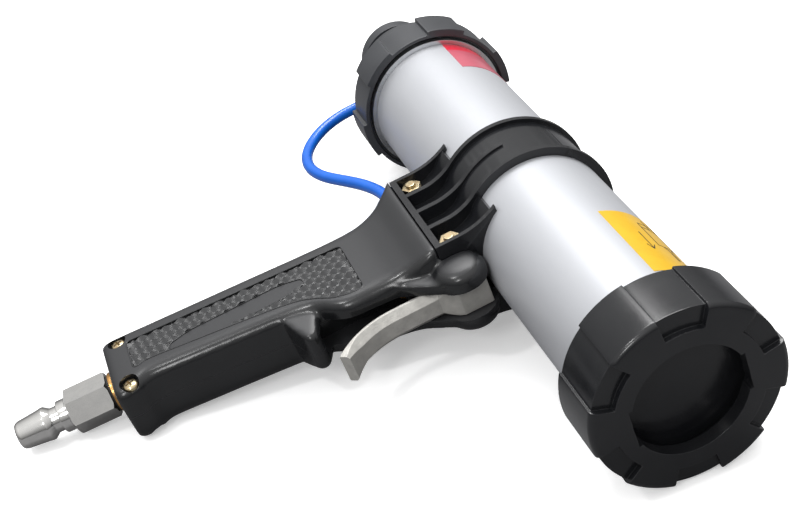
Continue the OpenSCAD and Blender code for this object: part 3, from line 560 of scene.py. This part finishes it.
# the pin bosses and the cheeks that carry them
pin_x, pin_y = 31.3, -9.9
for side in (-1, 1):
    dome = [(10.2, 5.5), (10.2, 9.0), (9.8, 10.6), (8.8, 12.2), (7.0, 13.4), (4.4, 14.2), (0.5, 14.5)]
    turned(bm, [(r, side * z) for r, z in dome], (pin_x, pin_y))
    rim = [(pin_x + 9.4 * math.cos(a), pin_y + 9.4 * math.sin(a), side * z)
           for a in [math.tau * k / 24 for k in range(24)] for z in (5.5, 10.2)]
    hull_of(bm, rim + box_points(12, 24.5, -34, -16, side * 5.5, side * 11.0))
grip = new_object("grip_form", bm)
skin = grip.modifiers.new("skin", "REMESH")
skin.mode = "VOXEL"
skin.voxel_size = 0.85
soft = grip.modifiers.new("soft", "SMOOTH")
soft.factor = 0.5
soft.iterations = 8
apply_modifiers(grip)
print("grip skin:", len(grip.data.polygons), "faces")

# %% [markdown]
# The mould's inserts leave crisp openings, so they are cut after the remesh with
# exact booleans: the trigger's slot, the seat of the bracket, the hollow for the
# valve, the screw recesses and the sunk side panel. Only the right shell is cut,
# and the left one is its mirror.

# %% Openings of the grip
def prism(bm, outline, z0, z1):
    """A closed prism over an outline of (x, y) pairs."""
    loft(bm, [[(x, y, z0) for x, y in outline], [(x, y, z1) for x, y in outline]])


def box_cutter(bm, *sides):
    hull_of(bm, box_points(*sides))


def circle(cx, cy, r, steps=40):
    return [(cx + r * math.cos(math.tau * k / steps), cy + r * math.sin(math.tau * k / steps))
            for k in range(steps)]


def rod_x(bm, y, r, x0, x1, steps=32):
    """A rod along X."""
    loft(bm, [[(x, y + py, pz) for py, pz in circle(0, 0, r, steps)] for x in (x0, x1)])


screw_spots = ((-22.8, -136.4), (4.7, -136.4))
recess_r, recess_z = 3.8, 10.0
slot_half = 6.3
bm = bmesh.new()
box_cutter(bm, -60, 60, -200, 60, 0.06, 60)
cut(grip, new_object("half_space", bm), "INTERSECT")
for sides in ((24.4, 60, -17.3, 30, -1, slot_half), (9.5, 60, -65.5, -16.5, -1, slot_half),
              (-60, 27.3, -14.35, 30, 7.6, 40), (-60, 22, -14.35, 30, -1, 7.7)):
    bm = bmesh.new()
    box_cutter(bm, *sides)
    cut(grip, new_object("opening", bm))
bm = bmesh.new()
prism(bm, [(-24.7, -130), (-18.3, -39.5), (-18.3, -19.5), (7, -19.5), (7, -76), (2.5, -130)], -1, 10.4)
cut(grip, new_object("hollow", bm))
bm = bmesh.new()
rod_x(bm, -28, 5.1, 6, 11)
cut(grip, new_object("gland_bore", bm))
bm = bmesh.new()
rod_x(bm, -14, hose_d / 2 + 0.3, -60, -18)
cut(grip, new_object("hose_bore", bm))
for x, y in screw_spots:
    bm = bmesh.new()
    prism(bm, circle(x, y, recess_r), recess_z, 20)
    cut(grip, new_object("recess", bm))
print("grip shell:", len(grip.data.polygons), "faces")

# %% [markdown]
# The side panel is sunk half a millimetre and filled with a grip pattern of low
# rhombic pyramids, except for a smooth lozenge down its middle. Its outline keeps a
# border inside the grip's own back and front edges. The pyramids are
# real geometry: one sheet of them, clipped to the panel's outline.

# %% Side panel and its pyramids
panel_top, panel_foot = -37.0, -133.5
back_border = 8.8
front_border_top, front_border_foot = 5.0, 9.0
lozenge_x, lozenge_top, lozenge_foot = -4.1, -62.0, -118.0
lozenge_half, lozenge_tip, lozenge_taper = 4.7, 2.0, 9.0


def panel_outline(step=6):
    """The panel: the grip's own edges, moved in by a border that widens towards the foot in front."""
    rows = [row for row in between_sections(sections, 1.0) if panel_foot <= row[0] <= panel_top]
    rows = sorted(rows, key=lambda row: row[0])[::step]
    front, back = [], []
    for height, back_edge, front_edge, *_ in rows:
        share = (height - panel_foot) / (panel_top - panel_foot)
        border = front_border_foot + share * (front_border_top - front_border_foot)
        front.append((front_edge - border, height))
        back.append((back_edge + back_border, height))
    return front + back[::-1]


def lozenge_outline():
    """The smooth lozenge: a long hexagon with blunt tips, read clockwise from its foot."""
    back_side = [(-lozenge_tip, lozenge_foot), (-lozenge_half, lozenge_foot + lozenge_taper),
                 (-lozenge_half, lozenge_top - lozenge_taper), (-lozenge_tip, lozenge_top)]
    front_side = [(-x, y) for x, y in reversed(back_side)]
    return [(lozenge_x + x, y) for x, y in back_side + front_side]


def round_outline(outline, r, steps=4):
    """The outline with each corner replaced by a short curve."""
    out = []
    count = len(outline)
    for i in range(count):
        a, b, c = (Vector(outline[(i + k) % count]) for k in (-1, 0, 1))
        reach = min(r, (a - b).length * 0.45, (c - b).length * 0.45)
        start, end = b + (a - b).normalized() * reach, b + (c - b).normalized() * reach
        out += [tuple((1 - t) ** 2 * start + 2 * t * (1 - t) * b + t * t * end)
                for t in [k / steps for k in range(steps + 1)]]
    return out


panel = round_outline(panel_outline(), 2.5)
lozenge = round_outline(lozenge_outline(), 3.0)
panel_z = 12.0
pyramid_h = 1.25
bm = bmesh.new()
prism(bm, panel, panel_z, 20)
cut(grip, new_object("sunk_panel", bm))


def pyramid_sheet():
    """A closed slab whose top is a field of rhombic pyramids."""
    bm = bmesh.new()
    a, b = Vector((4.5, 0.6, 0)), Vector((1.95, 3.5, 0))
    start = Vector((14.1, -38.3, panel_z))
    for i in range(-14, 24):
        for j in range(-34, 8):
            tip = start + a * i + b * j
            if not (-26 < tip.x < 27 and -142 < tip.y < -29):
                continue
            corners = [tip + a / 2, tip + b - a / 2, tip - a / 2, tip - b + a / 2]
            ring = [bm.verts.new(c) for c in corners]
            top = bm.verts.new(tip + Vector((0, 0, pyramid_h)))
            for k in range(4):
                bm.faces.new((ring[k], ring[(k + 1) % 4], top))
    bmesh.ops.remove_doubles(bm, verts=bm.verts, dist=0.01)
    rim = [e for e in bm.edges if e.is_boundary]
    low = bmesh.ops.extrude_edge_only(bm, edges=rim)["geom"]
    bmesh.ops.translate(bm, verts=[v for v in low if isinstance(v, bmesh.types.BMVert)], vec=(0, 0, -1))
    bmesh.ops.edgeloop_fill(bm, edges=[e for e in bm.edges if e.is_boundary])
    return new_object("pyramids", bm)


pyramids = pyramid_sheet()
bm = bmesh.new()
prism(bm, panel, panel_z - 0.6, 20)
cut(pyramids, new_object("panel_prism", bm), "INTERSECT")
bm = bmesh.new()
prism(bm, lozenge, panel_z - 3, 20)
cut(pyramids, new_object("lozenge_prism", bm))
print("pyramid faces:", len(pyramids.data.polygons))


def bead(bm, outline, r, z, steps=8):
    """A thin rounded bead that follows a closed outline."""
    count = len(outline)
    rows = []
    for i in range(count):
        a, b, c = (Vector((*outline[(i + k) % count], 0)) for k in (-1, 0, 1))
        out = ((c - a).normalized()).cross(Vector((0, 0, 1)))
        rows.append([bm.verts.new(b + out * (r * math.cos(t)) + Vector((0, 0, z + r * math.sin(t))))
                     for t in [math.tau * k / steps for k in range(steps)]])
    for i in range(count):
        for k in range(steps):
            j = (k + 1) % steps
            bm.faces.new((rows[i][k], rows[i][j], rows[(i + 1) % count][j], rows[(i + 1) % count][k]))


# %% Join the shell and mirror it
def shell(name, side):
    """One grip shell: skin, tongue between the clamp halves, pyramids and bead."""
    bm = bmesh.new()
    for source in (grip, pyramids):
        bm.from_mesh(source.data)
    bead(bm, panel, 0.32, 12.95)
    bead(bm, lozenge, 0.28, panel_z + 0.1)
    hull_of(bm, box_points(-27, 26.5, -15.3, -1.5, 0.06, 7.5))
    if side < 0:
        bmesh.ops.scale(bm, vec=(1, 1, -1), verts=bm.verts)
    return new_object(name, bm, handle)


for name, side in (("grip_shell_right", 1), ("grip_shell_left", -1)):
    piece = shell(name, side)
    piece.data.materials.append(finishes["grip_plastic"])
    shade_by_angle(piece)
    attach(piece, "gun")
    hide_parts(name.replace("shell_right", "right_shell").replace("shell_left", "left_shell"))
for helper in (grip, pyramids):
    bpy.data.objects.remove(helper)

# %% [markdown]
# ## The cast trigger
# The lever is a sand casting: a flat band at the head, and a blade whose two
# front edges are cut back at 45 degrees so that it is kind to the fingers. It is
# lofted from sections along the blade, each a rectangle with two cut corners.

# %% Trigger
trigger_half = 6.0


def blade_section(back_point, front_point, chamfer):
    """Section across the blade: back to front, with both front corners cut by chamfer."""
    b, f = Vector((*back_point, 0)), Vector((*front_point, 0))
    inward = (b - f).normalized() * chamfer
    z = Vector((0, 0, trigger_half))
    zc = Vector((0, 0, trigger_half - chamfer))
    soft_edge = 0.25 * (b - f).normalized()
    zs = Vector((0, 0, trigger_half - 0.25))
    return [b - soft_edge + z, f + inward + z, f + zc, f - zc, f + inward - z, b - soft_edge - z, b - zs,
            b + zs]


head = [((31, -2.5), (36.7, -2.5)), ((31, -4.4), (37, -3.4)), ((28.6, -5.0), (37, -5.2)),
        ((26.4, -6.8), (37, -7.2)),
        ((25.2, -9.2), (37, -9.8)), ((25.1, -11.6), (37, -12.2)), ((26, -13.8), (37, -14.3))]
stations = [(*pair, 0.3) for pair in head]
stations += [((27.8, -15.8), (35.9, -16.3), 0.4), ((28.8, -18.0), (34.3, -18.8), 1.3),
             ((29, -20.5), (33, -21.2), 2.6)]
stations += [((29, y), (33, y), 2.8) for y in (-24, -29, -34, -38.5)]
for k in range(1, 15):
    a = math.radians(180 + 50 * k / 14)
    stations.append(((61 + 32 * math.cos(a), -38.5 + 32 * math.sin(a)),
                     (61 + 28 * math.cos(a), -38.5 + 28 * math.sin(a)), min(2.8, 2.8 - (k - 9) * 0.36)))
bm = bmesh.new()
loft(bm, [blade_section(*s) for s in stations])
trigger = new_object("trigger_lever", bm, handle)
trigger.data.materials.append(finishes["cast_aluminium"])
soften(trigger, 0.35, 2, 28)
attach(trigger, "trigger")
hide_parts("trigger")
print("trigger stations:", len(stations))

# %% [markdown]
# ## Drawing on the front label
# The yellow label carries a small black line drawing. A generic one is drawn
# here, a cartridge with its nozzle and an arrow: flat ribbons laid on the
# barrel, in the label's own millimetres along and round the tube.

# %% Label drawing
def on_label(x, y):
    """A point on the label: x along the gun, y round the barrel from the +Y side."""
    turn = y / barrel_r
    r = barrel_r + 0.17
    return Vector((x, r * math.cos(turn), r * math.sin(turn)))


strokes = [[(-68, 13), (-52, 13), (-52, 21), (-68, 21), (-68, 13)], [(-52, 15), (-50, 16.2), (-43, 16.6)],
           [(-52, 19), (-50, 17.8), (-43, 17.4)], [(-72, 17), (-65, 17), (-65, 13)], [(-65, 17), (-65, 21)],
           [(-60, 25), (-48, 25)], [(-51, 23.5), (-48, 25), (-51, 26.5)]]
bm = bmesh.new()
for stroke in strokes:
    for (xa, ya), (xb, yb) in zip(stroke, stroke[1:]):
        steps = max(1, round(math.hypot(xb - xa, yb - ya) / 1.5))
        side = Vector((-(yb - ya), xb - xa)).normalized() * 0.17
        rows = [((xa + (xb - xa) * k / steps), (ya + (yb - ya) * k / steps)) for k in range(steps + 1)]
        pairs = [(bm.verts.new(on_label(x + side.x, y + side.y)),
                  bm.verts.new(on_label(x - side.x, y - side.y)))
                 for x, y in rows]
        for a, b in zip(pairs, pairs[1:]):
            bm.faces.new((a[0], b[0], b[1], a[1]))
drawing = new_object("label_drawing", bm, gun)
ink = drawing.modifiers.new("ink", "SOLIDIFY")
ink.thickness = 0.00004
ink.offset = 1
drawing.data.materials.append(finishes["black_rubber"])
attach(drawing, "gun")
print("label strokes:", len(strokes))

# %% [markdown]
# ## Grip screws
# Two yellow-zinc pan heads sit in round recesses at the foot. A turned dome with
# a cross cut into it reads as a real screw, where a plain cylinder would not.

# %% Grip screws
bm = bmesh.new()
for x, y in screw_spots:
    head = [(0.3, -9), (1.5, -9), (1.5, recess_z), (3.1, recess_z + 0.05), (3.15, recess_z + 0.7),
            (2.9, recess_z + 1.3), (2.3, recess_z + 1.75), (1.3, recess_z + 2.0), (0.2, recess_z + 2.08)]
    turned(bm, head, (x, y), 36)
screws = new_object("grip_screw_heads", bm)
bm = bmesh.new()
for x, y in screw_spots:
    for turn in (20, 110):
        c, s = math.cos(math.radians(turn)), math.sin(math.radians(turn))
        arm = [(u * c - v * s + x, u * s + v * c + y) for u,
               v in ((-1.8, -0.36), (1.8, -0.36), (1.8, 0.36), (-1.8, 0.36))]
        prism(bm, arm, recess_z + 0.9, recess_z + 4)
cross = new_object("crosses", bm)
tool = screws.modifiers.new("cross", "BOOLEAN")
tool.operation, tool.solver, tool.object, tool.use_self = "DIFFERENCE", "EXACT", cross, True
apply_modifiers(screws)
bpy.data.objects.remove(cross)
screws.data.transform(handle)
screws.data.materials.append(finishes["zinc_steel"])
shade_by_angle(screws)
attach(screws, "gun")
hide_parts("grip_screws")
print("screw faces:", len(screws.data.polygons))

# %% [markdown]
# ## Air plug
# The plug is turned from hexagon bar and chrome plated. Below the hexagon come
# a collar, a groove for the coupler's balls, a ridge and a nose that tapers to
# its tip. The hexagon is a prism cut by a cone, as on the lathe, and the nose is
# a turned profile.

# %% Air plug
plug_rake = math.radians(3)
inlet = (handle @ Matrix.Translation((-11.2, -143, 0)) @ Matrix.Rotation(-plug_rake, 4, "Z")
         @ Matrix.Rotation(math.pi / 2, 4, "X"))
hex_r, hex_top, hex_end, tip = 8 / math.cos(math.radians(30)), 3.0, 20.0, 42.0
bm = bmesh.new()
prism(bm, circle(0, 0, hex_r, 6), hex_top, hex_end)
plug = new_object("air_plug_body", bm)
bm = bmesh.new()
turned(bm, [(hex_r - 0.9, hex_top - 0.1), (hex_r + 0.2, hex_top + 0.9), (hex_r + 0.2, hex_end - 0.5),
            (hex_r - 0.9, hex_end + 0.1)], (0, 0), 96)
cut(plug, new_object("hex_cone", bm), "INTERSECT")
bm = bmesh.new()
bm.from_mesh(plug.data)
nose = [(2.6, hex_top - 3), (4.4, hex_top - 3), (4.4, hex_top + 1), (6.8, hex_end - 2), (6.8, hex_end + 0.6),
        (6.5, hex_end + 0.9), (6.5, hex_end + 4.0), (6.2, hex_end + 4.4), (5.1, hex_end + 4.6),
        (5.1, hex_end + 7.4),
        (5.5, hex_end + 7.9), (6.7, hex_end + 9.6), (6.8, hex_end + 10.4), (6.5, hex_end + 12.2),
        (5.7, tip - 1.6),
        (5.3, tip - 0.5), (4.8, tip), (3.2, tip), (3.0, tip - 0.4), (3.0, tip - 14), (2.6, tip - 14)]
rings = [[(r * math.cos(math.tau * k / 64), r * math.sin(math.tau * k / 64), z) for k in range(64)] for r,
         z in nose]
rows = [[bm.verts.new(p) for p in ring] for ring in rings]
rows.append(rows[0])
for a, b in zip(rows, rows[1:]):
    for k in range(64):
        bm.faces.new((a[k], a[(k + 1) % 64], b[(k + 1) % 64], b[k]))
bpy.data.objects.remove(plug)
plug = new_object("air_plug_body", bm, inlet)
plug.data.materials.append(finishes["bright_chrome"])
shade_by_angle(plug)
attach(plug, "gun")
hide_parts("air_plug")
print("plug faces:", len(plug.data.polygons))

# %% [markdown]
# ## Floor and light
# A white sheet, a surround that is bright overhead and dim at the horizon, and
# two soft lamps: the plastic needs long highlights to show its rounded edges,
# and the chrome needs something bright and something dark to mirror. The sheet
# looks white to the camera but is grey in reflections, as if black cards stood
# just out of view.

# %% Stage, lamps and surround
bm = bmesh.new()
bmesh.ops.create_grid(bm, x_segments=1, y_segments=1, size=6)
floor = new_object("floor", bm)
floor.location.z = -0.0005
floor_paint = bpy.data.materials.new("floor_paint")
floor_paint.use_nodes = True
paint = floor_paint.node_tree.nodes["Principled BSDF"]
paint.inputs["Roughness"].default_value = 0.9
paint.inputs["Specular IOR Level"].default_value = 0.1
ray = add(floor_paint.node_tree, "LightPath").outputs["Is Camera Ray"]
sheet = add(floor_paint.node_tree, "Mix", {0: ray, 6: (0.22, 0.22, 0.225, 1), 7: (0.95, 0.95, 0.95, 1)},
            data_type="RGBA").outputs[2]
floor_paint.node_tree.links.new(sheet, paint.inputs["Base Color"])
paint.inputs["Emission Color"].default_value = (1, 1, 1, 1)
glow = math_node(floor_paint.node_tree, "MULTIPLY", ray, 0.35)
floor_paint.node_tree.links.new(glow, paint.inputs["Emission Strength"])
floor.data.materials.append(floor_paint)


def lamp(name, place, target, size, watts):
    data = bpy.data.lights.new(name, "AREA")
    data.shape = "RECTANGLE"
    data.size, data.size_y = size
    data.energy = watts
    obj = bpy.data.objects.new(name, data)
    obj.matrix_world = (Matrix.Translation(place)
                        @ (Vector(place) - Vector(target)).to_track_quat("Z", "Y").to_matrix().to_4x4())
    bpy.context.collection.objects.link(obj)


lamp("key", (-0.5, 0.25, 1.1), (0, 0, 0), (0.8, 0.5), 13)
lamp("fill", (0.75, -0.5, 0.8), (0, 0, 0), (0.25, 0.25), 2.2)
lamp("spark", (0.15, -0.45, 0.9), (0, -0.05, 0), (0.1, 0.1), 1.6)
world = bpy.data.worlds.new("surround")
world.use_nodes = True
tree = world.node_tree
height = add(tree, "SeparateXYZ", {0: add(tree, "TexCoord").outputs["Generated"]}).outputs[2]
glow = add(tree, "MapRange", {0: height, 1: 0.0, 2: 1.0, 3: 0.14, 4: 1.35}).outputs[0]
seen = add(tree, "LightPath").outputs["Is Camera Ray"]
level = add(tree, "Mix", {0: seen, 2: glow, 3: 1.0}).outputs[0]
tree.nodes["Background"].inputs[0].default_value = (1, 1, 1, 1)
tree.links.new(level, tree.nodes["Background"].inputs[1])
bpy.context.scene.world = world
bpy.context.scene.view_settings.view_transform = "Standard"
print("stage set")
